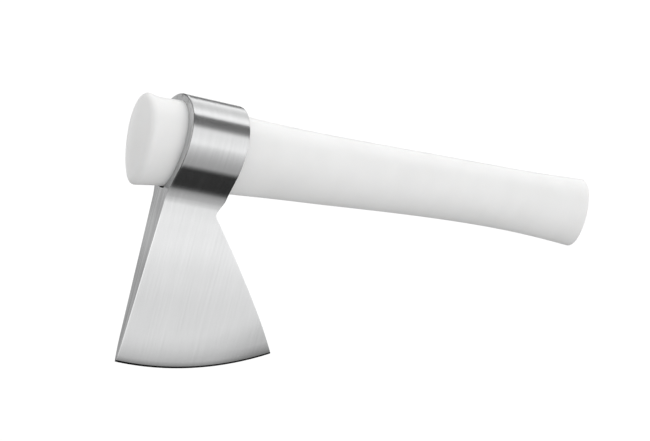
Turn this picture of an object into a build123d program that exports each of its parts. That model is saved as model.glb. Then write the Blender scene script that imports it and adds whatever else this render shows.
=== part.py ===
"""Butcher's ring hatchet: a brushed stainless head whose ring eye sits on a white plastic handle.

The handle is drawn through the ring from the front until its knob seats, so there is no wedge or pin.
Units are millimetres. The origin is in the middle of the grip, inside the handle, level with the
ring's widest point.
+X runs along the handle from the head to the butt, +Z is up, and the blade points down.
"""

import math
import os

from build123d import *

# ---- Driving dimensions -------------------------------------------------------------------------
# A side place is given as a distance behind the ring's front rim, and RING_FRONT moves it into X.
RING_FRONT = -190.0
RING_LENGTH = 41.0
RING_TOP = 23.4
RING_HALF_WIDTH = 18.0
FLANK_START = (14.6, -17.0)  # Y, Z where the ring's curve ends in its flat flank
SHOULDER_ARM = 6.0  # control arm of the curve from the ring's widest point to its flank
SHOULDER_SLOPE = 0.33  # the curve's own slope where it breaks into the flank, in a crisp line
RING_ARM = 0.605  # control arms of the ring's top, as a share of its size; an ellipse has 0.552
FRONT_RIM_CHAMFER = 0.9
BACK_RIM_CHAMFER = 0.7

CHEEK_SLOPE = 0.0535  # half thickness that the blade gains for each millimetre up
BLANK_BOTTOM = -139.0
BLANK_EDGE_HALF = 1.15  # half thickness of the blank at its bottom, below the cutting edge
NECK_CORNER_Z = -34.0  # the flank and the cheek, both drawn straight, would meet at this height
NECK_RADIUS = 30.0  # hollow between a flank and a cheek
EDGE_CENTRE = (9.7, 108.3)  # centre of the cutting edge's arc in the side view
EDGE_RADIUS = 245.0
BEVEL_TOP = (1.18, 0.55)  # the bevel's upper line, as distance in from the edge and half thickness
GRIND_ARMS = ((4.2, 1.25), (14.0, 2.45))  # control points of the rolled grind above the bevel
GRIND_END = (26.0, 3.72)
BLADE_FRONT_FOOT = (-5.68, BLANK_BOTTOM)  # the blade's front line leans forward to here
FRONT_BEND_Z = -25.0
FRONT_BEND_RADIUS = 120.0
RING_FOOT_Z = -33.5  # where the ring's back rim starts to turn in to the notch
RING_FOOT_RADIUS = 5.0
NOTCH = (36.8, -42.0)  # inside corner between the ring and the heel line
NOTCH_RADIUS = 3.5
HEEL_MIDDLE = (71.6, -79.5)  # the heel line bows out slightly through here
HEEL_FOOT = (106.0, -121.2)  # the heel line's end, just past the cutting edge

# Handle sections from the knob's end to the butt's end: place behind the ring's front rim, top, bottom,
# half width, height of the widest point, and roundness of the underside (1 is an ellipse, 0 a point)
HANDLE_SECTIONS = (
    (-26.8, 21.1, -34.5, 13.9, -2.5, 0.88),
    (-15.0, 18.6, -33.1, 13.2, -1.8, 0.80),
    (-6.0, 18.9, -32.0, 13.0, -1.0, 0.66),
    (2.0, 19.2, -31.1, 12.7, 0.0, 0.57),
    (RING_LENGTH, 18.6, -29.0, 12.3, 0.0, 0.60),
    (75.0, 18.1, -26.6, 12.2, -1.2, 0.75),
    (112.0, 18.6, -24.2, 12.1, -1.8, 0.92),
    (150.0, 19.7, -21.6, 12.0, -0.6, 1.0),
    (202.0, 21.4, -18.5, 11.8, 1.4, 1.0),
    (257.0, 23.1, -16.7, 11.5, 3.2, 1.0),
    (299.0, 24.9, -17.2, 11.3, 4.0, 1.0),
    (325.6, 26.7, -18.4, 11.2, 4.4, 1.0),
)
KNOB_LEAN = 2.5  # degrees that the knob's end leans forward at its top
KNOB_EDGE_RADIUS = 2.6
BUTT_EDGE_RADIUS = 3.4

EYE_GAP_TOP = -29.0  # the small gap left under the handle, at the bottom of the eye
EYE_GAP_BOTTOM = -32.4
EYE_GAP_TOP_HALF = 2.0
EYE_GAP_BOTTOM_HALF = 2.3

QUARTER = 4 / 3 * math.tan(math.pi / 8)  # length of the control arms that draw a quarter ellipse
SIDE_ARM = 0.40  # control arm below the widest point of an underside with roundness 0, as a share
SIDE_ARM_GAIN = 0.15  # what full roundness adds to that arm
REACH = 60.0  # larger than any half section
OVERRUN = 10.0  # how far a cut or a blank starts before the ring, and ends past the metal
BLADE_OVERLAP = 3.0  # how far up inside the ring's flanks the blade's own profile starts
NEAR = 0.1  # how close an edge or corner lies to the height it is looked for at


# ---- Shared geometry ----------------------------------------------------------------------------
def from_ring(x):
    """X in the part's frame of a place behind the ring's front rim."""
    return RING_FRONT + x


def side(x, z):
    """A point of a side view, as coordinates in Plane.XZ."""
    return (from_ring(x), z)


def egg_section(place, top, bottom, half_width, widest, roundness):
    """One closed section of the handle, as a sketch across it."""
    lift = top - widest
    drop = widest - bottom
    lean = KNOB_LEAN if place == HANDLE_SECTIONS[0][0] else 0.0
    across = Plane.YZ.offset(from_ring(place)).rotated((0, -lean, 0))
    with BuildSketch(across) as section:
        with BuildLine():
            Bezier(
                (0, top),
                (QUARTER * half_width, top),
                (half_width, widest + QUARTER * lift),
                (half_width, widest),
            )
            Bezier(
                (half_width, widest),
                (half_width, widest - (SIDE_ARM + SIDE_ARM_GAIN * roundness) * drop),
                (QUARTER * roundness * half_width, bottom),
                (0, bottom),
            )
            mirror(about=Plane.YZ)
        make_face()
    return section.sketch


NECK_CORNER = (BLANK_EDGE_HALF + CHEEK_SLOPE * (NECK_CORNER_Z - BLANK_BOTTOM), NECK_CORNER_Z)
FLANK_SLOPE = (FLANK_START[0] - NECK_CORNER[0]) / (FLANK_START[1] - NECK_CORNER[1])
BLADE_ROOT = (FLANK_START[0] - FLANK_SLOPE * BLADE_OVERLAP, FLANK_START[1] - BLADE_OVERLAP)


# ---- Handle -------------------------------------------------------------------------------------
with BuildPart() as handle:
    loft([egg_section(*section) for section in HANDLE_SECTIONS])

    fillet(handle.faces().sort_by(Axis.X)[0].edges(), KNOB_EDGE_RADIUS)
    fillet(handle.faces().sort_by(Axis.X)[-1].edges(), BUTT_EDGE_RADIUS)

# ---- Blade: flat cheeks under a hollow neck that widens into the ring's flanks -------------------
with BuildPart() as blade:
    with BuildSketch(Plane.YZ.offset(from_ring(-OVERRUN))) as blade_front_view:
        with BuildLine():
            Polyline(
                (0, BLADE_ROOT[1]),
                BLADE_ROOT,
                NECK_CORNER,
                (BLANK_EDGE_HALF, BLANK_BOTTOM),
                (0, BLANK_BOTTOM),
            )
            mirror(about=Plane.YZ)
        make_face()
        neck_corners = blade_front_view.vertices().filter_by_position(
            Axis.Y, NECK_CORNER_Z - NEAR, NECK_CORNER_Z + NEAR
        )
        fillet(neck_corners, NECK_RADIUS)
    extrude(amount=HEEL_FOOT[0] + 2 * OVERRUN)

    with BuildSketch(Plane.XZ) as blade_side_view:
        with BuildLine():
            Polyline(
                side(0, BLADE_ROOT[1]),
                side(0, FRONT_BEND_Z),
                side(*BLADE_FRONT_FOOT),
                side(HEEL_FOOT[0], BLANK_BOTTOM),
                side(*HEEL_FOOT),
            )
            ThreePointArc(side(*HEEL_FOOT), side(*HEEL_MIDDLE), side(*NOTCH))
            Polyline(
                side(*NOTCH),
                side(RING_LENGTH, RING_FOOT_Z),
                side(RING_LENGTH, BLADE_ROOT[1]),
                side(0, BLADE_ROOT[1]),
            )
        make_face()
        corners = blade_side_view.vertices()
        fillet(corners.sort_by_distance(side(0, FRONT_BEND_Z))[0], FRONT_BEND_RADIUS)
        fillet(corners.sort_by_distance(side(*NOTCH))[0], NOTCH_RADIUS)
        fillet(corners.sort_by_distance(side(RING_LENGTH, RING_FOOT_Z))[0], RING_FOOT_RADIUS)
    extrude(amount=REACH, both=True, mode=Mode.INTERSECT)

    # the cutting edge is the rim of a disc: a narrow bevel, then a rolled grind that meets the cheek
    # sooner at the front, and later towards the heel, where the blank is thicker
    centre_x, centre_z = side(*EDGE_CENTRE)
    rim_x = centre_x + EDGE_RADIUS
    bevel_top = (rim_x - BEVEL_TOP[0], BEVEL_TOP[1])
    grind_end = (rim_x - GRIND_END[0], GRIND_END[1])
    with BuildSketch(Plane.XY.offset(centre_z)):
        with BuildLine():
            Line((rim_x, 0), bevel_top)
            Bezier(bevel_top, *[(rim_x - depth, half) for depth, half in GRIND_ARMS], grind_end)
            Polyline(grind_end, (grind_end[0], REACH), (centre_x, REACH), (centre_x, 0))
            mirror(about=Plane.XZ)
        make_face()
    revolve(axis=Axis((centre_x, 0, centre_z), (0, 1, 0)), mode=Mode.INTERSECT)

# ---- Head: the teardrop ring joined to the blade, with the eye cut to the handle ------------------
with BuildPart() as head:
    with BuildSketch(Plane.YZ.offset(from_ring(0))):
        with BuildLine():
            Bezier(
                (0, RING_TOP),
                (RING_ARM * RING_HALF_WIDTH, RING_TOP),
                (RING_HALF_WIDTH, RING_ARM * RING_TOP),
                (RING_HALF_WIDTH, 0),
            )
            Bezier(
                (RING_HALF_WIDTH, 0),
                (RING_HALF_WIDTH, -SHOULDER_ARM),
                (FLANK_START[0] + SHOULDER_SLOPE * SHOULDER_ARM, FLANK_START[1] + SHOULDER_ARM),
                FLANK_START,
            )
            Polyline(FLANK_START, NECK_CORNER, (0, NECK_CORNER_Z))
            mirror(about=Plane.YZ)
        make_face()
    extrude(amount=RING_LENGTH)

    def rim(place):
        """The ring's outer edges, down to the neck, at one of its ends."""
        at_end = head.edges().filter_by_position(Axis.X, from_ring(place), from_ring(place))
        return at_end.filter_by(lambda edge: edge.center().Z > NECK_CORNER_Z + NEAR)

    chamfer(rim(0), FRONT_RIM_CHAMFER)
    chamfer(rim(RING_LENGTH), BACK_RIM_CHAMFER)
    add(blade.part)

    # the eye fits the handle's own taper, and ends below in a narrow gap that the handle leaves open
    add(handle.part, mode=Mode.SUBTRACT)
    with BuildSketch(Plane.YZ.offset(from_ring(-OVERRUN))):
        with BuildLine():
            Polyline(
                (-EYE_GAP_TOP_HALF, EYE_GAP_TOP),
                (EYE_GAP_TOP_HALF, EYE_GAP_TOP),
                (EYE_GAP_BOTTOM_HALF, EYE_GAP_BOTTOM),
                (-EYE_GAP_BOTTOM_HALF, EYE_GAP_BOTTOM),
                close=True,
            )
        make_face()
    extrude(amount=RING_LENGTH + 2 * OVERRUN, mode=Mode.SUBTRACT)

# ---- Hand over -----------------------------------------------------------------------------------
os.makedirs("parts", exist_ok=True)
head.part.label = "head"
handle.part.label = "handle"
export_step(head.part, "parts/head.step")
export_step(handle.part, "parts/handle.step")
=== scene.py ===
"""Looks for the butcher's ring hatchet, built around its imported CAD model.

Shapes are worked out in millimetres in the CAD's own frame, and written to meshes in metres.
"""

import math

import bmesh
import bpy
import numpy as np
from mathutils import Matrix, Vector


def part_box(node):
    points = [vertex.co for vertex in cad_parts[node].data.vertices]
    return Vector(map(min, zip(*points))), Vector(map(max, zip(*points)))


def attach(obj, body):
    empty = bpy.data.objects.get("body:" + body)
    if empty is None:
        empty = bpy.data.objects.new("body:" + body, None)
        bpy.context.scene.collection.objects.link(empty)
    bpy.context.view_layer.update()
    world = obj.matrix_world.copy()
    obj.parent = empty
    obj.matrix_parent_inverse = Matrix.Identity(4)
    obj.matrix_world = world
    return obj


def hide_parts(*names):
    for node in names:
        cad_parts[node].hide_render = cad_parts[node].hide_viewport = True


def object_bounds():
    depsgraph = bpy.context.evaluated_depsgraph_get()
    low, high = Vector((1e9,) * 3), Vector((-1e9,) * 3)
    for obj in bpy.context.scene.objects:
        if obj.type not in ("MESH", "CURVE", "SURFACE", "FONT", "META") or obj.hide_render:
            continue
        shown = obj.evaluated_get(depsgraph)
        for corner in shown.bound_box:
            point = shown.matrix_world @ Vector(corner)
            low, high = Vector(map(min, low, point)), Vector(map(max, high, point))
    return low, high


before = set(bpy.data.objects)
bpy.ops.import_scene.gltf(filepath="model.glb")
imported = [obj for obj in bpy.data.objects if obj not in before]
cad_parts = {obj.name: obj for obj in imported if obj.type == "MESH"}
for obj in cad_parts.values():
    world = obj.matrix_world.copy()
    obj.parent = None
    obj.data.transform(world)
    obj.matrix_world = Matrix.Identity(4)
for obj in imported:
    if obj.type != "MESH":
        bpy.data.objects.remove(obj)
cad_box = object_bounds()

MM = 0.001
LOW, HIGH = cad_box

# ---- Shape of the head, in millimetres -----------------------------------------------------------
BUTT_PLACE = 325.6  # the butt's end, behind the ring's front rim
RING_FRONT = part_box("handle")[1].x / MM - BUTT_PLACE  # X of the ring's front rim
RING_LENGTH = 41.0
RING_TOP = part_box("head")[1].z / MM
RING_HALF_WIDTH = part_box("head")[1].y / MM
FLANK_START = (14.6, -17.0)  # Y, Z where the ring's curve breaks into its flat flank
RING_ARM = 0.605
SHOULDER_ARM = 6.0
SHOULDER_SLOPE = 0.33
CHEEK_SLOPE = 0.0535
BLANK_BOTTOM = -139.0
BLANK_EDGE_HALF = 1.15
NECK_CORNER_Z = -34.0
NECK_RADIUS = 30.0
EDGE_CENTRE = (9.7, 108.3)
EDGE_RADIUS = 244.97
BEVEL_TOP = (1.18, 0.55)  # distance in from the cutting edge, and half thickness there
GRIND_ARMS = ((4.2, 1.25), (14.0, 2.45))
GRIND_END = (26.0, 3.72)
GRIND_SOFTNESS = 0.5  # how gently the grind rolls into the cheek
FRONT_BEND_Z = -25.0
FRONT_LEAN = 5.68 / (FRONT_BEND_Z - BLANK_BOTTOM)  # how far the blade's front comes forward, per mm down
FRONT_BEND_SOFTNESS = 4.0
REAR_START_Z = -24.0  # the rear outline below the ring starts at this height, on the back rim
RING_FOOT_Z = -33.5  # where the ring's back rim starts to turn in to the notch
RING_FOOT_RADIUS = 5.0
NOTCH = (36.8, -42.0)
NOTCH_RADIUS = 3.5
HEEL_MIDDLE = (71.6, -79.5)
HEEL_FOOT = (106.0, -121.2)
EYE_CLEARANCE = 1.003  # the eye against the handle's section
EYE_GAP_Z = -32.4  # bottom of the small gap left under the handle
EYE_GAP_HALF = 2.3
EYE_GAP_TAPER = 0.15
RIM_ROUND_FRONT = 0.9
RIM_ROUND_BACK = 0.7
BLADE_ROUND = 0.35  # rounding of the blade's front and heel edges
THIN_BLADE = 3.0  # below this half thickness, an edge's rounding shrinks with the blade
THIN_ROUND = 0.6  # to this share of the half thickness
INNER_SHARE = 0.02  # a row's direction at its ends is taken over this share of it
CREASE_NEAR = 0.02  # how close to the bevel's upper line a point counts as on it

# ---- Shape of the handle, in millimetres ---------------------------------------------------------
# Sections from the knob's end to the butt's end: place behind the ring's front rim, top, bottom,
# half width, height of the widest point, and roundness of the underside (1 is an ellipse, 0 a point)
HANDLE_SECTIONS = (
    (-26.8, 21.1, -34.5, 13.9, -2.5, 0.88),
    (-15.0, 18.6, -33.1, 13.2, -1.8, 0.80),
    (-6.0, 18.9, -32.0, 13.0, -1.0, 0.66),
    (2.0, 19.2, -31.1, 12.7, 0.0, 0.57),
    (RING_LENGTH, 18.6, -29.0, 12.3, 0.0, 0.60),
    (75.0, 18.1, -26.6, 12.2, -1.2, 0.75),
    (112.0, 18.6, -24.2, 12.1, -1.8, 0.92),
    (150.0, 19.7, -21.6, 12.0, -0.6, 1.0),
    (202.0, 21.4, -18.5, 11.8, 1.4, 1.0),
    (257.0, 23.1, -16.7, 11.5, 3.2, 1.0),
    (299.0, 24.9, -17.2, 11.3, 4.0, 1.0),
    (BUTT_PLACE, 26.66, -18.4, 11.2, 4.4, 1.0),
)
KNOB_LEAN = math.tan(math.radians(2.5))
LEAN_FADE = 12.0  # the lean of the knob's end dies away over this length
KNOB_CROWN = 2.0
KNOB_ROUND = 4.5
BUTT_CROWN = 0.5
BUTT_ROUND = 3.0
QUARTER = 4 / 3 * math.tan(math.pi / 8)  # control arms of a quarter ellipse
SIDE_ARM = 0.40  # control arm below the widest point of an underside with roundness 0
SIDE_ARM_GAIN = 0.15  # what full roundness adds to that arm

# ---- Mesh fineness -------------------------------------------------------------------------------
MERGE_MM = 0.004  # closer points are one
DEGENERATE_MM = 0.002
SIDE_STEPS = 40  # points from a section's top to its bottom, down one side
END_SHARES = (0.05, 0.2, 0.4, 0.6, 0.8, 1.0)  # rings across an end, as shares of its flat part
END_ROUND_STEPS = 7
FINE_STATION = 1.5  # spacing of the handle's rings from the knob through the eye
FIRST_GAP = 1.2  # from the knob's rounding to the first of them
FINE_PAST_RING = 4.0  # they end this far behind the ring
COARSE_STATION = 4.0  # spacing along the grip
COARSE_START = 5.0  # the grip's rings start this far behind the ring
HANDLE_SHARP = 60  # degrees above which an edge is shaded sharp
HEAD_SHARP = 26
GRIND_SAMPLES = 200
HEEL_STEPS = 24
CORNER_STEPS = 8
SHOULDER_STEPS = 10
ACROSS_STEPS = 30
ROUND_STEPS = 4
BISECTIONS = 60
LEVEL_STEP = 0.7  # height between level rows
PATCH_STEPS = 28
GROUND_STEPS = 15
GROUND_SPREAD = 0.8  # below 1, the rows of the ground band crowd towards the cutting edge
EYE_PLACES = (8.0, 16.0, 24.0, 32.0)  # loops inside the eye, behind the front rim
FLANK_END_Z = -35.5  # the last row that has a point of the eye beside it
PATCH_TOP_Z = -52.0
PATCH_DEPTH = 12.0  # the lowest rows follow the cutting edge, up to this depth in from it

# ---- Camera: it looks at the knob's end and the blade's side, rolled about its own axis -----------
AIM_ALONG = 0.4226  # the point looked at, as shares of the model's length and height
AIM_UP = 0.6369
CAMERA_AIM = Vector((LOW.x + AIM_ALONG * (HIGH.x - LOW.x), 0.0, LOW.z + AIM_UP * (HIGH.z - LOW.z)))
CAMERA_AZIMUTH = math.radians(-38.0)
CAMERA_ELEVATION = math.radians(2.18)
CAMERA_ROLL = math.radians(12.82)
CAMERA_DISTANCE = 1.5
LENS_MM = 136.9

# ---- Studio, in metres ---------------------------------------------------------------------------
SHELL_RADIUS = 9.0
SHELL_CURVE = 3.0
SHELL_HEIGHT = 9.0
SHELL_SEGMENTS = 96
SHELL_CURVE_STEPS = 12
FLOOR_LIGHT = 1.05
TENT_RADIUS = 4.0
TENT_LENGTH = 22.0
TENT_SEGMENTS = 128
TENT_LIGHT = 1.42
TENT_DIM_X = (-3.1, -0.6)  # the tent is dimmer beyond the knob's end, and full from the second place
TENT_DIM_LEVELS = (0.49, 1.0)
TENT_BANDS = (  # share of the tent's height, and its brightness there
    (0.000, 0.000),
    (0.130, 0.004),
    (0.170, 0.32),
    (0.242, 0.41),
    (0.305, 0.53),
    (0.371, 0.66),
    (0.396, 0.77),
    (0.430, 0.89),
    (0.480, 0.85),
    (0.560, 0.80),
    (0.642, 0.80),
    (0.674, 0.52),
    (0.708, 0.18),
    (0.800, 0.10),
    (0.880, 0.055),
    (0.888, 0.98),
    (0.950, 0.97),
    (0.985, 0.72),
    (1.000, 0.62),
)
WORLD_BELOW = 0.47
WORLD_ABOVE = 1.25
WORLD_LEVEL = 0.95
WORLD_TOWARDS_BUTT = 0.134
WORLD_TOWARDS_CAMERA = 0.10


# ---- Mesh helpers --------------------------------------------------------------------------------
def new_object(name, vertices, faces, scale=MM):
    """A mesh object from points and faces, linked to the scene."""
    mesh = bpy.data.meshes.new(name)
    mesh.from_pydata([tuple(c * scale for c in v) for v in vertices], [], faces)
    obj = bpy.data.objects.new(name, mesh)
    bpy.context.scene.collection.objects.link(obj)
    return obj


def close_and_smooth(obj, sharp_degrees, is_crease=lambda a, b: False):
    """Merges doubled points, turns faces outwards, and shades smooth with sharp creases."""
    mesh = bmesh.new()
    mesh.from_mesh(obj.data)
    bmesh.ops.remove_doubles(mesh, verts=mesh.verts, dist=MERGE_MM * MM)
    bmesh.ops.dissolve_degenerate(mesh, edges=mesh.edges, dist=DEGENERATE_MM * MM)
    bmesh.ops.recalc_face_normals(mesh, faces=mesh.faces)
    limit = math.radians(sharp_degrees)
    for edge in mesh.edges:
        steep = len(edge.link_faces) == 2 and edge.calc_face_angle() > limit
        edge.smooth = not (steep or is_crease(*(vertex.co / MM for vertex in edge.verts)))
    for face in mesh.faces:
        face.smooth = True
    mesh.to_mesh(obj.data)
    mesh.free()
    weigh = obj.modifiers.new("weigh_normals", "WEIGHTED_NORMAL")
    weigh.keep_sharp = True


def spline(places, values):
    """A natural cubic spline through the values, as a function of place."""
    places = np.array(places, float)
    values = np.array(values, float)
    count = len(places)
    gap = np.diff(places)
    matrix = np.eye(count)
    right = np.zeros(count)
    for i in range(1, count - 1):
        matrix[i, i - 1] = gap[i - 1]
        matrix[i, i] = 2 * (gap[i - 1] + gap[i])
        matrix[i, i + 1] = gap[i]
        right[i] = 6 * ((values[i + 1] - values[i]) / gap[i] - (values[i] - values[i - 1]) / gap[i - 1])
    bend = np.linalg.solve(matrix, right)

    def at(x):
        i = int(np.clip(np.searchsorted(places, x) - 1, 0, count - 2))
        a = (places[i + 1] - x) / gap[i]
        b = (x - places[i]) / gap[i]
        cubic = ((a**3 - a) * bend[i] + (b**3 - b) * bend[i + 1]) * gap[i] ** 2 / 6
        return float(a * values[i] + b * values[i + 1] + cubic)

    return at


def bezier(points, t):
    """A point on a cubic Bezier curve."""
    s = 1 - t
    weights = (s**3, 3 * s * s * t, 3 * s * t * t, t**3)
    return tuple(sum(w * p[i] for w, p in zip(weights, points)) for i in (0, 1))


def blend(a, b, t):
    """The value a share t of the way from a to b."""
    return a + (b - a) * t


# ---- Handle --------------------------------------------------------------------------------------
SECTION_PLACES = [section[0] for section in HANDLE_SECTIONS]
SECTION_SPLINES = [
    spline(SECTION_PLACES, [section[i] for section in HANDLE_SECTIONS]) for i in range(1, 6)
]


def section_side(place):
    """Points down the +Y side of the handle's section, from its top to its bottom, as (y, z)."""
    top, bottom, half, widest, roundness = (curve(place) for curve in SECTION_SPLINES)
    lift, drop = top - widest, widest - bottom
    upper = ((0, top), (QUARTER * half, top), (half, widest + QUARTER * lift), (half, widest))
    lower = (
        (half, widest),
        (half, widest - (SIDE_ARM + SIDE_ARM_GAIN * roundness) * drop),
        (QUARTER * roundness * half, bottom),
        (0, bottom),
    )
    half_steps = SIDE_STEPS // 2
    points = [bezier(upper, i / half_steps) for i in range(half_steps)]
    points += [bezier(lower, i / half_steps) for i in range(half_steps + 1)]
    return points


def section_loop(place, inset=0.0):
    """The whole section as a closed loop of (y, z), moved in along its normals."""
    right = section_side(place)
    left = [(-y, z) for y, z in reversed(right[1:-1])]
    loop = np.array(right + left)
    if inset:
        tangent = np.roll(loop, -1, axis=0) - np.roll(loop, 1, axis=0)
        tangent /= np.linalg.norm(tangent, axis=1)[:, None]
        # the loop runs down the +Y side first, so the inward normal is the tangent turned clockwise
        loop = loop + inset * np.column_stack((tangent[:, 1], -tangent[:, 0]))
    return loop


def end_rings(end_x, inward, lean, crown, rounding):
    """Rings from near the middle of an end out to where its rounding meets the side."""
    middle = section_loop(end_x).mean(axis=0)
    flat = section_loop(end_x, rounding)
    rings = []
    for share in END_SHARES:
        loop = middle + (flat - middle) * share
        rings.append([(end_x + inward * crown * share**2, y, z) for y, z in loop])
    for step in range(1, END_ROUND_STEPS + 1):
        turn = math.pi / 2 * step / END_ROUND_STEPS
        place = end_x + inward * (crown + rounding * (1 - math.cos(turn)))
        loop = section_loop(place, rounding * (1 - math.sin(turn)))
        rings.append([(place, y, z) for y, z in loop])
    return [[(x - lean * z, y, z) for x, y, z in ring] for ring in rings]


def handle_rings():
    """Rings of (x, y, z) along the handle, with X still measured behind the ring's front rim."""
    knob_x, butt_x = SECTION_PLACES[0], SECTION_PLACES[-1]
    start = knob_x + KNOB_CROWN + KNOB_ROUND
    stop = butt_x - BUTT_CROWN - BUTT_ROUND
    fine = np.arange(start + FIRST_GAP, RING_LENGTH + FINE_PAST_RING, FINE_STATION)
    coarse = np.arange(RING_LENGTH + COARSE_START, stop - COARSE_STATION / 2, COARSE_STATION)
    rings = end_rings(knob_x, 1, KNOB_LEAN, KNOB_CROWN, KNOB_ROUND)
    for place in (*fine, *coarse):
        lean = KNOB_LEAN * max(0.0, 1 - (place - start) / LEAN_FADE)
        rings.append([(place - lean * z, y, z) for y, z in section_loop(place)])
    return rings + end_rings(butt_x, -1, 0.0, BUTT_CROWN, BUTT_ROUND)[::-1]


def make_handle():
    """The handle: egg-shaped sections in a smooth sweep, with rounded ends that are slightly crowned."""
    rings = handle_rings()
    count = len(rings[0])
    last = (len(rings) - 1) * count
    vertices = [(x + RING_FRONT, y, z) for ring in rings for x, y, z in ring]
    faces = []
    for here in range(0, last, count):
        beyond = here + count
        for i in range(count):
            after = (i + 1) % count
            faces.append((here + i, here + after, beyond + after, beyond + i))
    faces.append(tuple(range(count)))
    faces.append(tuple(last + i for i in reversed(range(count))))
    handle = new_object("white_handle", vertices, faces)
    close_and_smooth(handle, HANDLE_SHARP)
    return handle


# ---- Head ----------------------------------------------------------------------------------------
def cheek_half(z):
    """Half thickness of the blank at a height, between its flat cheeks."""
    return BLANK_EDGE_HALF + CHEEK_SLOPE * (z - BLANK_BOTTOM)


NECK_CORNER_HALF = cheek_half(NECK_CORNER_Z)
FLANK_SLOPE = (FLANK_START[0] - NECK_CORNER_HALF) / (FLANK_START[1] - NECK_CORNER_Z)


def flank_half(z):
    """Half width of the ring's flat flank at a height."""
    return FLANK_START[0] - FLANK_SLOPE * (FLANK_START[1] - z)


def neck_half(z):
    """Half width below the shoulder: the flank, the hollow neck, then the cheek."""
    flank_angle, cheek_angle = math.atan(FLANK_SLOPE), math.atan(CHEEK_SLOPE)
    reach = NECK_RADIUS * math.tan((flank_angle - cheek_angle) / 2)
    start_z = NECK_CORNER_Z + reach * math.cos(flank_angle)
    end_z = NECK_CORNER_Z - reach * math.cos(cheek_angle)
    if z >= start_z:
        return flank_half(z)
    if z <= end_z:
        return cheek_half(z)
    centre_y = cheek_half(end_z) + NECK_RADIUS * math.cos(cheek_angle)
    centre_z = end_z - NECK_RADIUS * math.sin(cheek_angle)
    return centre_y - math.sqrt(max(NECK_RADIUS**2 - (z - centre_z) ** 2, 0.0))


def arc_through(first, middle, last):
    """Centre and radius of the circle through three points."""
    ax, az = first
    bx, bz = middle
    cx, cz = last
    d = 2 * (ax * (bz - cz) + bx * (cz - az) + cx * (az - bz))
    a2, b2, c2 = ax * ax + az * az, bx * bx + bz * bz, cx * cx + cz * cz
    centre_x = (a2 * (bz - cz) + b2 * (cz - az) + c2 * (az - bz)) / d
    centre_z = (a2 * (cx - bx) + b2 * (ax - cx) + c2 * (bx - ax)) / d
    return (centre_x, centre_z), math.hypot(ax - centre_x, az - centre_z)


GRIND_CURVE = (BEVEL_TOP, *GRIND_ARMS, GRIND_END)
GRIND_LINE = np.array([bezier(GRIND_CURVE, i / GRIND_SAMPLES) for i in range(GRIND_SAMPLES + 1)])


def ground_half(depth):
    """Half thickness that the bevel and the rolled grind leave, at a depth in from the edge."""
    if depth <= BEVEL_TOP[0]:
        return BEVEL_TOP[1] * max(depth, 0.0) / BEVEL_TOP[0]
    beyond = max(depth - GRIND_END[0], 0.0)
    return float(np.interp(depth, GRIND_LINE[:, 0], GRIND_LINE[:, 1])) + beyond


def edge_depth(x, z):
    """How far a point of the side view lies in from the cutting edge."""
    return EDGE_RADIUS - math.hypot(x - EDGE_CENTRE[0], z - EDGE_CENTRE[1])


def blade_half(x, z):
    """Half thickness of the finished head at a point of the side view, below the shoulder."""
    blank, ground = neck_half(z), ground_half(edge_depth(x, z))
    overlap = max(GRIND_SOFTNESS - abs(blank - ground), 0.0) / GRIND_SOFTNESS
    return min(blank, ground) - overlap**2 * GRIND_SOFTNESS / 4


def front_x(z):
    """The head's front outline, with a soft bend under the ring."""
    bend = FRONT_BEND_Z - z
    return -FRONT_LEAN * (math.hypot(bend, FRONT_BEND_SOFTNESS) + bend) / 2


def rear_outline():
    """The head's rear outline, from the ring's back rim down to just past the edge, as points."""
    centre, radius = arc_through(NOTCH, HEEL_MIDDLE, HEEL_FOOT)
    first, last = (math.atan2(z - centre[1], x - centre[0]) for x, z in (NOTCH, HEEL_FOOT))
    heel = []
    for i in range(HEEL_STEPS + 1):
        angle = blend(first, last, i / HEEL_STEPS)
        heel.append((centre[0] + radius * math.cos(angle), centre[1] + radius * math.sin(angle)))
    rough = [(RING_LENGTH, REAR_START_Z), (RING_LENGTH, RING_FOOT_Z)] + heel
    return round_corner(round_corner(rough, 1, RING_FOOT_RADIUS), None, NOTCH_RADIUS)


def round_corner(points, index, radius):
    """Replaces a corner of an outline by an arc; without an index it is the sharpest corner."""
    if index is None:
        turns = []
        for i in range(1, len(points) - 1):
            a = Vector(points[i]) - Vector(points[i - 1])
            b = Vector(points[i + 1]) - Vector(points[i])
            turns.append((abs(a.angle_signed(b)), i))
        index = max(turns)[1]
    corner = Vector(points[index])
    before = (Vector(points[index - 1]) - corner).normalized()
    after = (Vector(points[index + 1]) - corner).normalized()
    half = before.angle(after) / 2
    reach = radius / math.tan(half)
    centre = corner + (before + after).normalized() * radius / math.sin(half)
    start, stop = corner + before * reach - centre, corner + after * reach - centre
    sweep = start.angle_signed(stop)
    arc = []
    for i in range(CORNER_STEPS + 1):
        turn = -sweep * i / CORNER_STEPS
        arc.append(
            (
                centre.x + start.x * math.cos(turn) - start.y * math.sin(turn),
                centre.y + start.x * math.sin(turn) + start.y * math.cos(turn),
            )
        )
    kept_before = [p for p in points[:index] if (Vector(p) - corner).length > reach]
    kept_after = [p for p in points[index + 1 :] if (Vector(p) - corner).length > reach]
    return kept_before + arc + kept_after


REAR_OUTLINE = rear_outline()


def rear_x(z):
    """The head's rear outline: how far behind the front rim it lies at a height."""
    for (xa, za), (xb, zb) in zip(REAR_OUTLINE, REAR_OUTLINE[1:]):
        if za >= z >= zb:
            return blend(xa, xb, (za - z) / max(za - zb, 1e-9))
    return RING_LENGTH if z > REAR_OUTLINE[0][1] else REAR_OUTLINE[-1][0]


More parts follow.
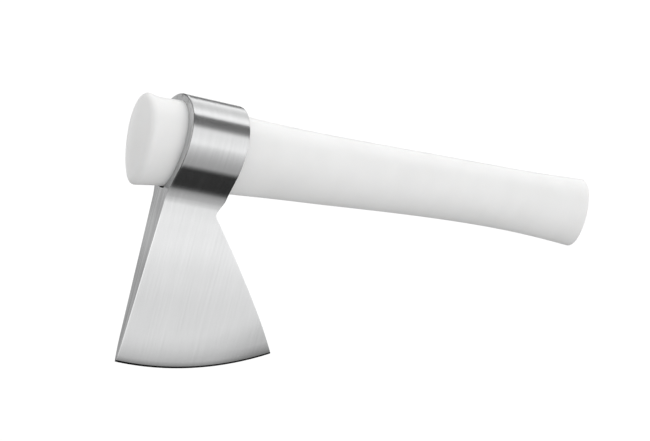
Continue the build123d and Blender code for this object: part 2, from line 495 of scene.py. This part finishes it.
def ring_profile():
    """Points down the ring's outside and its flank, as (y, z), one for each point round the eye."""
    half = SIDE_STEPS // 2
    upper = (
        (0, RING_TOP),
        (RING_ARM * RING_HALF_WIDTH, RING_TOP),
        (RING_HALF_WIDTH, RING_ARM * RING_TOP),
        (RING_HALF_WIDTH, 0),
    )
    lower = (
        (RING_HALF_WIDTH, 0),
        (RING_HALF_WIDTH, -SHOULDER_ARM),
        (FLANK_START[0] + SHOULDER_SLOPE * SHOULDER_ARM, FLANK_START[1] + SHOULDER_ARM),
        FLANK_START,
    )
    points = [bezier(upper, i / half) for i in range(half)]
    points += [bezier(lower, i / SHOULDER_STEPS) for i in range(SHOULDER_STEPS)]
    flank_steps = half - SHOULDER_STEPS
    for i in range(flank_steps + 1):
        z = blend(FLANK_START[1], FLANK_END_Z, i / flank_steps)
        points.append((neck_half(z), z))
    return points


def crossing(outline_x, depth):
    """The point of a side outline that lies at a depth in from the cutting edge."""
    low, high = BLANK_BOTTOM - PATCH_DEPTH, PATCH_TOP_Z
    for _ in range(BISECTIONS):
        middle = (low + high) / 2
        if edge_depth(outline_x(middle), middle) > depth:
            high = middle
        else:
            low = middle
    return (outline_x(middle), middle)


def arc_row(depth):
    """A row of the side view that keeps one depth in from the cutting edge."""
    centre_x, centre_z = EDGE_CENTRE
    ends = [crossing(outline, depth) for outline in (front_x, rear_x)]
    first, last = (math.atan2(z - centre_z, x - centre_x) for x, z in ends)
    radius = EDGE_RADIUS - depth

    def at(u):
        angle = blend(first, last, u)
        return (centre_x + radius * math.cos(angle), centre_z + radius * math.sin(angle))

    return at


def level_row(z):
    """A row of the side view at one height."""
    return lambda u: (blend(front_x(z), rear_x(z), u), z)


def patch_row(t):
    """A row between the lowest level row and the first row that follows the cutting edge."""
    top, bottom = level_row(PATCH_TOP_Z), arc_row(PATCH_DEPTH)
    front_z = blend(PATCH_TOP_Z, bottom(0)[1], t)
    rear_z = blend(PATCH_TOP_Z, bottom(1)[1], t)
    left, right = (front_x(front_z), front_z), (rear_x(rear_z), rear_z)

    def at(u):
        point = []
        for i in (0, 1):
            along = blend(top(u)[i], bottom(u)[i], t) + blend(left[i], right[i], u)
            corners = blend(blend(top(0)[i], top(1)[i], u), blend(bottom(0)[i], bottom(1)[i], u), t)
            point.append(along - corners)
        return tuple(point)

    return at


def rounded_row(row, half_at, normal, front_round, rear_round):
    """Points along one row of the +Y side, with its front and rear edges rounded over."""
    points = []

    def place(spot, sink):
        y = half_at(*spot)
        points.append((spot[0], max(y - sink * normal[0], 0.0), spot[1] - sink * normal[1]))

    def edge(end, inner, radius, turns):
        start = Vector(row(end))
        inward = (Vector(row(inner)) - start).normalized()
        if half_at(*row(end)) < THIN_BLADE:
            radius = min(radius, THIN_ROUND * half_at(*(start + inward * radius)))
        for turn in turns:
            spot = start + inward * radius * (1 - math.cos(turn))
            place(tuple(spot), radius * (1 - math.sin(turn)))
        return radius

    quarter_turns = [math.pi / 2 * i / ROUND_STEPS for i in range(ROUND_STEPS + 1)]
    width = (Vector(row(1)) - Vector(row(0))).length
    used = edge(0, INNER_SHARE, front_round, quarter_turns)
    start, stop = used / width, 1 - min(rear_round, used) / width
    for i in range(1, ACROSS_STEPS):
        place(row(blend(start, stop, i / ACROSS_STEPS)), 0.0)
    edge(1, 1 - INNER_SHARE, rear_round, quarter_turns[::-1])
    return points


def eye_loop(place, x_at):
    """The eye's +Y side at one place, a hair outside the handle, with the gap under the handle."""
    points = section_side(place)
    middle_z = (points[0][1] + points[-1][1]) / 2
    side = [(y * EYE_CLEARANCE, middle_z + (z - middle_z) * EYE_CLEARANCE) for y, z in points]
    side[-4] = (EYE_GAP_HALF - EYE_GAP_TAPER, side[-4][1])
    side[-3] = (EYE_GAP_HALF, EYE_GAP_Z)
    side[-2] = (EYE_GAP_HALF / 2, EYE_GAP_Z)
    side[-1] = (0.0, EYE_GAP_Z)
    return [(x_at(z), y, z) for y, z in side]


def ring_rows():
    """Rows down the ring's outside and its flank, with the rims rounded over."""
    profile = ring_profile()
    rows = []
    for i, (y, z) in enumerate(profile):
        before, after = profile[max(i - 1, 0)], profile[min(i + 1, len(profile) - 1)]
        normal = Vector((before[1] - after[1], after[0] - before[0])).normalized()
        if i == 0:
            normal = Vector((0.0, 1.0))
        share = min(1.0, max(0.0, (FLANK_START[1] - z) / (FLANK_START[1] - FLANK_END_Z)))
        front = blend(RIM_ROUND_FRONT, BLADE_ROUND, share)
        back = blend(RIM_ROUND_BACK, BLADE_ROUND, share)
        rows.append(rounded_row(level_row(z), lambda *spot, y=y: y, normal, front, back))
    return rows


def blade_rows():
    """Rows from the neck down to the cutting edge: level, then bent to follow the edge."""
    normal = Vector((1.0, -CHEEK_SLOPE)).normalized()
    levels = np.arange(FLANK_END_Z - LEVEL_STEP, PATCH_TOP_Z + 0.01, -LEVEL_STEP)
    lines = [level_row(float(z)) for z in levels]
    lines += [patch_row(i / PATCH_STEPS) for i in range(1, PATCH_STEPS)]
    for step in range(GROUND_STEPS + 1):
        share = (step / GROUND_STEPS) ** GROUND_SPREAD
        lines.append(arc_row(blend(PATCH_DEPTH, BEVEL_TOP[0], share)))
    lines.append(arc_row(BEVEL_TOP[0] / 2))
    rows = [rounded_row(line, blade_half, normal, BLADE_ROUND, BLADE_ROUND) for line in lines]
    edge = arc_row(0.0)
    last = len(rows[0]) - 1
    spots = [edge(column / last) for column in range(last + 1)]
    rows.append([(x, 0.0, z) for x, z in spots])
    return rows


class SharedMesh:
    """Faces that share their corners wherever these meet."""

    def __init__(self):
        self.vertices = []
        self.faces = []
        self.index = {}

    def vertex(self, point):
        key = tuple(round(c, 4) for c in point)
        if key not in self.index:
            self.index[key] = len(self.vertices)
            self.vertices.append((point[0] + RING_FRONT, point[1], point[2]))
        return self.index[key]

    def face(self, points, side):
        """A face on the +Y side (1) or mirrored to the other (-1), unless it has shrunk to a line."""
        corners = []
        for x, y, z in points:
            corner = self.vertex((x, side * y, z))
            if corner not in corners:
                corners.append(corner)
        if len(corners) > 2:
            self.faces.append(corners)


def add_skin(mesh, rows, side):
    """The faces between rows of points."""
    for upper, lower in zip(rows, rows[1:]):
        for c in range(len(upper) - 1):
            mesh.face((upper[c], upper[c + 1], lower[c + 1], lower[c]), side)


def add_end(mesh, outline, eye, side):
    """The head's front or rear face, from its outline in to the eye or to the middle plane."""
    for r, (outer, below) in enumerate(zip(outline, outline[1:])):
        if r < SIDE_STEPS:
            mesh.face((outer, below, eye[r + 1], eye[r]), side)
        else:
            middle = eye[-1] if r == SIDE_STEPS else (outer[0], 0.0, outer[2])
            mesh.face((outer, below, (below[0], 0.0, below[2]), middle), side)


def make_head():
    """The head: a ring that runs down through flanks and a hollow neck into the ground blade."""
    rows = ring_rows() + blade_rows()
    tunnel = [eye_loop(0.0, front_x)]
    tunnel += [eye_loop(place, lambda z, place=place: place) for place in EYE_PLACES]
    tunnel.append(eye_loop(RING_LENGTH, rear_x))
    mesh = SharedMesh()
    for side in (1, -1):
        add_skin(mesh, rows, side)
        add_end(mesh, [row[0] for row in rows], tunnel[0], side)
        add_end(mesh, [row[-1] for row in rows], tunnel[-1], side)
        add_skin(mesh, tunnel, side)
    head = new_object("steel_head", mesh.vertices, mesh.faces)

    def on_crease(point):
        return abs(edge_depth(point.x - RING_FRONT, point.z) - BEVEL_TOP[0]) < CREASE_NEAR

    close_and_smooth(head, HEAD_SHARP, lambda a, b: on_crease(a) and on_crease(b))
    return head


# ---- Node helpers --------------------------------------------------------------------------------
def new_material(name):
    """An empty node material, as (material, node tree)."""
    material = bpy.data.materials.new(name)
    material.use_nodes = True
    tree = material.node_tree
    tree.nodes.clear()
    return material, tree


def add_node(tree, kind, inputs=None, **settings):
    """A node of a kind, with settings as attributes and inputs as values or sockets."""
    node = tree.nodes.new("ShaderNode" + kind)
    for key, value in settings.items():
        setattr(node, key, value)
    for key, value in (inputs or {}).items():
        socket = node.inputs[key]
        if isinstance(value, bpy.types.NodeSocket):
            tree.links.new(value, socket)
        else:
            socket.default_value = value
    return node


def grey(level, alpha=1.0):
    """A neutral colour."""
    return (level, level, level, alpha)


def set_stops(ramp, stops):
    """Writes (position, colour) stops into a colour ramp."""
    elements = ramp.elements
    while len(elements) < len(stops):
        elements.new(0.5)
    for element, (position, colour) in zip(elements, stops):
        element.position = position
        element.color = colour


# ---- Materials -----------------------------------------------------------------------------------
RAMP_HEIGHTS = (-140, -20)  # millimetres
# painted shade on the front and rear faces, by height
END_FACE_PAINTED_SHADE = ((-140, 0.15), (-84, 0.15), (-62, 0.0), (-54, 0.0), (-42, 0.08))
# painted light on the cheeks: lighter or darker by height
CHEEK_PAINTED_LIGHT = (
    (-136, 0.0),
    (-118, 0.03),
    (-95, 0.0),
    (-80, 0.02),
    (-62, 0.075),
    (-50, 0.055),
    (-38, 0.0),
)
CORNER_PAINTED_HIGHLIGHT = 0.13  # painted highlight that the blade's front corner adds to the steel's tone
EDGE_PAINTED_HIGHLIGHT = 0.16  # and the painted highlight that every outer edge adds


def noise(tree, vector, scale, detail=3.0, roughness=0.55, distortion=0.0):
    """A noise texture's value at a position."""
    texture = add_node(
        tree,
        "TexNoise",
        {
            "Vector": vector,
            "Scale": scale,
            "Detail": detail,
            "Roughness": roughness,
            "Distortion": distortion,
        },
    )
    return texture.outputs[0]


def remap(tree, value, low, high, to_low, to_high):
    """A value moved from one range to another, and held at the new range's ends."""
    inputs = {
        "Value": value,
        "From Min": low,
        "From Max": high,
        "To Min": to_low,
        "To Max": to_high,
    }
    return add_node(tree, "MapRange", inputs).outputs[0]


def maths(tree, operation, a, b):
    """One arithmetic operation on values or sockets."""
    return add_node(tree, "Math", {0: a, 1: b}, operation=operation).outputs[0]


def plus(tree, *terms):
    """The terms added up."""
    total = terms[0]
    for term in terms[1:]:
        total = maths(tree, "ADD", total, term)
    return total


def times(tree, *factors):
    """The factors multiplied."""
    product = factors[0]
    for factor in factors[1:]:
        product = maths(tree, "MULTIPLY", product, factor)
    return product


def show(tree, shader, output="OutputMaterial"):
    """Connects a shader to the tree's output."""
    tree.links.new(shader.outputs[0], add_node(tree, output).inputs["Surface"])


def stretched(tree, position, scale):
    """A position with each axis scaled, for texture that runs one way."""
    return add_node(tree, "VectorMath", {0: position, 1: scale}, operation="MULTIPLY").outputs[0]


def height_ramp(tree, height, stops):
    """A level that follows height, from stops given as (millimetres, level) within RAMP_HEIGHTS."""
    low, high = RAMP_HEIGHTS
    share = remap(tree, height, low * MM, high * MM, 0.0, 1.0)
    ramp = add_node(tree, "ValToRGB", {"Fac": share})
    ramp.color_ramp.interpolation = "EASE"
    set_stops(ramp.color_ramp, [((z - low) / (high - low), grey(level)) for z, level in stops])
    return ramp.outputs["Color"]


def depth_in(tree, position):
    """How far in from the cutting edge a position is, in metres."""
    centre = ((RING_FRONT + EDGE_CENTRE[0]) * MM, 0.0, EDGE_CENTRE[1] * MM)
    offset = add_node(tree, "VectorMath", {0: position, 1: centre}, operation="SUBTRACT").outputs[0]
    flat = stretched(tree, offset, (1.0, 0.0, 1.0))
    reach = add_node(tree, "VectorMath", {0: flat}, operation="LENGTH").outputs["Value"]
    return maths(tree, "SUBTRACT", EDGE_RADIUS * MM, reach)


def edge_mask(tree, radius):
    """Nearly 1 along outer edges and creases, and 0 on open surface."""
    soft = add_node(tree, "Bevel", {"Radius": radius}, samples=6).outputs[0]
    true = add_node(tree, "NewGeometry").outputs["Normal"]
    match = add_node(tree, "VectorMath", {0: soft, 1: true}, operation="DOT_PRODUCT").outputs["Value"]
    return remap(tree, match, 0.995, 0.90, 0.0, 1.0)


def brushed_grain(tree, position, endways):
    """Fine and broad lines that run up the blade's sides and its ends alike."""

    def streaks(along, fineness):
        sides = noise(tree, stretched(tree, position, (fineness, along, along)), 1.0, 4.0, 0.6)
        ends = noise(tree, stretched(tree, position, (along, fineness, along)), 1.0, 4.0, 0.6)
        return add_node(tree, "Mix", {"Factor": endways, "A": sides, "B": ends}).outputs["Result"]

    return plus(tree, times(tree, streaks(60.0, 4200.0), 0.8), times(tree, streaks(14.0, 900.0), 0.2))


def end_face_tone(tree, position, height, endways):
    """The combed front and rear faces: brushed lines down them, and painted shade that varies with
    height, strongest lower down.
    """
    combed = noise(tree, stretched(tree, position, (40.0, 1500.0, 22.0)), 1.0, 3.0, 0.6)
    painted_shade = height_ramp(tree, height, END_FACE_PAINTED_SHADE)
    level = maths(tree, "SUBTRACT", remap(tree, combed, 0.3, 0.7, -0.11, 0.11), painted_shade)
    return times(tree, endways, level)


def painted_corner_highlight(tree, position, height, sideways):
    """A painted highlight down the corner between the blade's front and its cheek."""
    along_front = add_node(
        tree, "VectorMath", {0: position, 1: (1.0, 0.0, -FRONT_LEAN)}, operation="DOT_PRODUCT"
    ).outputs["Value"]
    corner_x = (RING_FRONT - FRONT_LEAN * FRONT_BEND_Z) * MM
    gap = maths(tree, "SUBTRACT", along_front, corner_x)
    close = remap(tree, gap, 0.3 * MM, 1.2 * MM, 1.0, 0.0)
    below_ring = remap(tree, height, -50 * MM, -45 * MM, 1.0, 0.0)
    return times(tree, close, sideways, below_ring, CORNER_PAINTED_HIGHLIGHT)


def painted_ground_shade_share(tree, position, place_x):
    """What the painted shade along the ground band leaves of the tone: less near the edge, and least at
    the heel.
    """
    depth = depth_in(tree, position)
    heelward = remap(tree, place_x, -128 * MM, -100 * MM, 0.0, 1.0)
    front_shade = remap(tree, depth, 1.2 * MM, 4.0 * MM, 0.36, 0.0)
    heel_shade = remap(tree, depth, 1.2 * MM, 9.0 * MM, 0.56, 0.10)
    mix = add_node(tree, "Mix", {"Factor": heelward, "A": front_shade, "B": heel_shade})
    band = remap(tree, depth, 10 * MM, 22 * MM, 1.0, 0.0)
    return maths(tree, "SUBTRACT", 1.0, times(tree, mix.outputs["Result"], band))


def brushed_steel():
    """Stainless steel, brushed up and down, with a slight cloudiness, painted highlights along its edges
    and front corner, and painted light and shade by height and near the cutting edge.
    """
    material, tree = new_material("brushed_steel")
    position = add_node(tree, "TexCoord").outputs["Object"]
    normal = add_node(tree, "NewGeometry").outputs["Normal"]
    facing = add_node(tree, "SeparateXYZ", {0: normal}).outputs["X"]
    place = add_node(tree, "SeparateXYZ", {0: position})
    height = place.outputs["Z"]
    endways = remap(tree, maths(tree, "ABSOLUTE", facing, 0.0), 0.55, 0.8, 0.0, 1.0)
    sideways = maths(tree, "SUBTRACT", 1.0, endways)
    grain = brushed_grain(tree, position, endways)
    clouds = noise(tree, position, 45.0, 3.0, 0.5, 0.4)
    brushed = noise(tree, stretched(tree, position, (520.0, 30.0, 9.0)), 1.0, 3.0, 0.6)
    edges = edge_mask(tree, 0.9 * MM)

    tone = plus(
        tree,
        remap(tree, grain, 0.32, 0.68, 0.63, 0.69),
        remap(tree, clouds, 0.3, 0.7, -0.012, 0.012),
        remap(tree, brushed, 0.3, 0.7, -0.015, 0.015),
        # painted highlight along every outer edge
        times(tree, edges, EDGE_PAINTED_HIGHLIGHT),
        # painted light on the cheeks, by height
        times(tree, sideways, height_ramp(tree, height, CHEEK_PAINTED_LIGHT)),
        # painted highlight down the blade's front corner
        painted_corner_highlight(tree, position, height, sideways),
        end_face_tone(tree, position, height, endways),
    )
    # painted shade along the ground band near the cutting edge
    tone = times(tree, tone, painted_ground_shade_share(tree, position, place.outputs["X"]))
    colour = add_node(tree, "CombineColor", {"Red": tone, "Green": tone, "Blue": tone})
    tinted = add_node(
        tree,
        "Mix",
        {"Factor": 1.0, "A": colour.outputs[0], "B": (0.99, 0.995, 1.0, 1.0)},
        data_type="RGBA",
        blend_type="MULTIPLY",
    )
    roughness = plus(
        tree,
        remap(tree, grain, 0.3, 0.7, 0.20, 0.27),
        remap(tree, clouds, 0.3, 0.7, -0.01, 0.01),
        times(tree, edges, -0.05),
    )
    scratches = add_node(tree, "Bump", {"Strength": 0.08, "Distance": 0.04 * MM, "Height": grain})
    across = add_node(tree, "CombineXYZ", {"X": 1.0, "Y": 0.05, "Z": 0.0})
    shader = add_node(
        tree,
        "BsdfPrincipled",
        {
            "Base Color": tinted.outputs["Result"],
            "Metallic": 1.0,
            "Roughness": roughness,
            "Anisotropic": 0.85,
            "Normal": scratches.outputs[0],
            "Tangent": across.outputs[0],
        },
    )
    show(tree, shader)
    return material


def white_plastic():
    """Smooth white polyethylene: a faint orange peel, slight clouding, a little light inside, and
    painted shade along its edges and creases.
    """
    material, tree = new_material("white_plastic")
    position = add_node(tree, "TexCoord").outputs["Object"]
    clouds = noise(tree, position, 60.0, 3.0, 0.5, 0.3)
    peel = noise(tree, stretched(tree, position, (0.6, 1.0, 1.0)), 900.0, 2.0, 0.5)
    pores = noise(tree, position, 5200.0, 2.0, 0.6)
    drawn = noise(tree, stretched(tree, position, (12.0, 700.0, 700.0)), 1.0, 3.0, 0.6)
    edges = edge_mask(tree, 1.2 * MM)

    tone = plus(
        tree,
        remap(tree, clouds, 0.3, 0.7, 0.855, 0.880),
        remap(tree, pores, 0.3, 0.7, -0.006, 0.006),
        # painted shade along edges and creases
        times(tree, edges, -0.015),
    )
    warm = times(tree, tone, 0.995)
    colour = add_node(tree, "CombineColor", {"Red": tone, "Green": tone, "Blue": warm})
    roughness = plus(
        tree,
        remap(tree, clouds, 0.3, 0.7, 0.36, 0.44),
        remap(tree, drawn, 0.3, 0.7, -0.03, 0.03),
    )
    relief = plus(tree, times(tree, peel, 0.7), times(tree, pores, 0.1), times(tree, drawn, 0.2))
    surface = add_node(tree, "Bump", {"Strength": 0.25, "Distance": 0.08 * MM, "Height": relief})
    shader = add_node(
        tree,
        "BsdfPrincipled",
        {
            "Base Color": colour.outputs[0],
            "Roughness": roughness,
            "IOR": 1.5,
            "Subsurface Weight": 0.25,
            "Subsurface Radius": (1.0, 0.95, 0.9),
            "Subsurface Scale": 1.5 * MM,
            "Normal": surface.outputs[0],
        },
    )
    show(tree, shader)
    return material


# ---- Studio --------------------------------------------------------------------------------------
def only_seen_by(obj, camera=False, glossy=False):
    """Limits which rays meet a studio piece, so that each does one job."""
    obj.visible_camera = camera
    obj.visible_glossy = glossy
    obj.visible_diffuse = False
    obj.visible_transmission = False
    obj.visible_volume_scatter = False
    obj.visible_shadow = False


def revolve_profile(name, profile):
    """A surface of revolution about Z from (radius, height) points, the first on the axis."""
    vertices = [(0.0, 0.0, profile[0][1])]
    for radius, height in profile[1:]:
        for step in range(SHELL_SEGMENTS):
            angle = 2 * math.pi * step / SHELL_SEGMENTS
            vertices.append((radius * math.cos(angle), radius * math.sin(angle), height))
    faces = []
    for step in range(SHELL_SEGMENTS):
        after = (step + 1) % SHELL_SEGMENTS
        faces.append((0, 1 + step, 1 + after))
        for ring in range(len(profile) - 2):
            here = 1 + ring * SHELL_SEGMENTS
            beyond = here + SHELL_SEGMENTS
            faces.append((here + step, beyond + step, beyond + after, here + after))
    obj = new_object(name, vertices, faces, scale=1.0)
    for face in obj.data.polygons:
        face.use_smooth = True
    return obj


def make_floor():
    """A pale floor that curves up all round into a seamless wall."""
    profile = [(0.0, LOW.z), (SHELL_RADIUS - SHELL_CURVE, LOW.z)]
    for step in range(1, SHELL_CURVE_STEPS + 1):
        angle = math.pi / 2 * step / SHELL_CURVE_STEPS
        radius = SHELL_RADIUS - SHELL_CURVE * (1 - math.sin(angle))
        profile.append((radius, LOW.z + SHELL_CURVE * (1 - math.cos(angle))))
    profile.append((SHELL_RADIUS, LOW.z + SHELL_HEIGHT))
    floor = revolve_profile("floor", profile)
    material, tree = new_material("pale_floor")
    show(tree, add_node(tree, "Emission", {"Color": grey(1.0), "Strength": FLOOR_LIGHT}))
    floor.data.materials.append(material)
    only_seen_by(floor, camera=True)


def tent_mesh():
    """An open tube about the X axis."""
    vertices = []
    for x in (-TENT_LENGTH / 2, TENT_LENGTH / 2):
        for step in range(TENT_SEGMENTS):
            angle = 2 * math.pi * step / TENT_SEGMENTS
            vertices.append((x, TENT_RADIUS * math.cos(angle), TENT_RADIUS * math.sin(angle)))
    faces = []
    for step in range(TENT_SEGMENTS):
        after = (step + 1) % TENT_SEGMENTS
        faces.append((step, after, TENT_SEGMENTS + after, TENT_SEGMENTS + step))
    return new_object("tent", vertices, faces, scale=1.0)


def make_tent():
    """A long light tent, seen only in reflections: it gives the steel its bands."""
    tent = tent_mesh()
    material, tree = new_material("tent_light")
    place = add_node(tree, "SeparateXYZ", {0: add_node(tree, "TexCoord").outputs["Object"]})
    height = remap(tree, place.outputs["Z"], -TENT_RADIUS, TENT_RADIUS, 0.0, 1.0)
    bands = add_node(tree, "ValToRGB", {0: height})
    set_stops(bands.color_ramp, [(share, grey(level)) for share, level in TENT_BANDS])
    along = remap(tree, place.outputs["X"], *TENT_DIM_X, *TENT_DIM_LEVELS)
    strength = times(tree, along, TENT_LIGHT)
    show(tree, add_node(tree, "Emission", {"Color": bands.outputs[0], "Strength": strength}))
    tent.data.materials.append(material)
    only_seen_by(tent, glossy=True)


def make_world():
    """Soft light from all round, stronger from above and a little stronger from the butt's side."""
    world = bpy.data.worlds.new("studio")
    world.use_nodes = True
    tree = world.node_tree
    tree.nodes.clear()
    direction = add_node(tree, "SeparateXYZ", {0: add_node(tree, "TexCoord").outputs["Generated"]})
    height = remap(tree, direction.outputs["Z"], -1.0, 1.0, WORLD_BELOW, WORLD_ABOVE)
    level = plus(
        tree,
        times(tree, direction.outputs["X"], WORLD_TOWARDS_BUTT),
        times(tree, direction.outputs["Y"], -WORLD_TOWARDS_CAMERA),
        WORLD_LEVEL,
    )
    strength = times(tree, height, level)
    light = add_node(tree, "Background", {"Color": grey(1.0), "Strength": strength})
    show(tree, light, "OutputWorld")
    bpy.context.scene.world = world


def make_camera():
    """The camera, to the knob's side of the blade."""
    back = Vector(
        (
            math.sin(CAMERA_AZIMUTH) * math.cos(CAMERA_ELEVATION),
            -math.cos(CAMERA_AZIMUTH) * math.cos(CAMERA_ELEVATION),
            math.sin(CAMERA_ELEVATION),
        )
    )
    level = back.to_track_quat("Z", "Y").to_matrix().to_4x4()
    data = bpy.data.cameras.new("camera")
    data.lens = LENS_MM
    data.clip_end = 100.0
    camera = bpy.data.objects.new("camera", data)
    bpy.context.scene.collection.objects.link(camera)
    place = Matrix.Translation(CAMERA_AIM + back * CAMERA_DISTANCE)
    camera.matrix_world = place @ level @ Matrix.Rotation(CAMERA_ROLL, 4, "Z")
    bpy.context.scene.camera = camera


def finish_piece(piece, node, material):
    """A new piece stands for its CAD node, takes its slot's finish, and rides with the body."""
    piece.data.materials.append(material)
    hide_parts(node)
    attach(piece, "root")


finish_piece(make_head(), "head", brushed_steel())
finish_piece(make_handle(), "handle", white_plastic())
make_floor()
make_tent()
make_world()
make_camera()
bpy.context.scene.view_settings.view_transform = "Standard"
